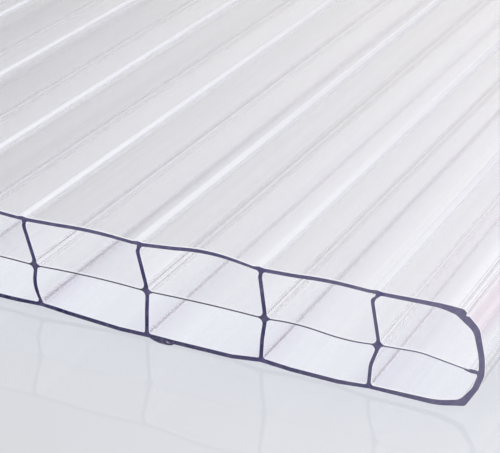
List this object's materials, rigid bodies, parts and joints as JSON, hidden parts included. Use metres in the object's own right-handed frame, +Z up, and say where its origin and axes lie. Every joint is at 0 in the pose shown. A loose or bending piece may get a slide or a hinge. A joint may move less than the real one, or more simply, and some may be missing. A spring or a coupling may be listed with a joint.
{
  "type": "multiwall polycarbonate sheet",
  "caption": "Clear triple-wall hollow glazing sheet with upright ribs between two skins and a thin middle wall, rounded closed long sides and open sawn ends.",
  "frame": {"origin": "under the middle of the sheet, on the plane that its underside rests on", "axes": "+X across the width towards the long side that the picture shows, +Y along the flutes away from the sawn end that it shows, +Z up through the depth"},
  "size_m": [0.61, 2, 0.0174],
  "materials": {
    "polycarbonate": "clear extruded polycarbonate, glossy, faintly violet where it is seen through its cut edge"
  },
  "bodies": {
    "root": {"sheet": "polycarbonate"}
  },
  "joints": []
}
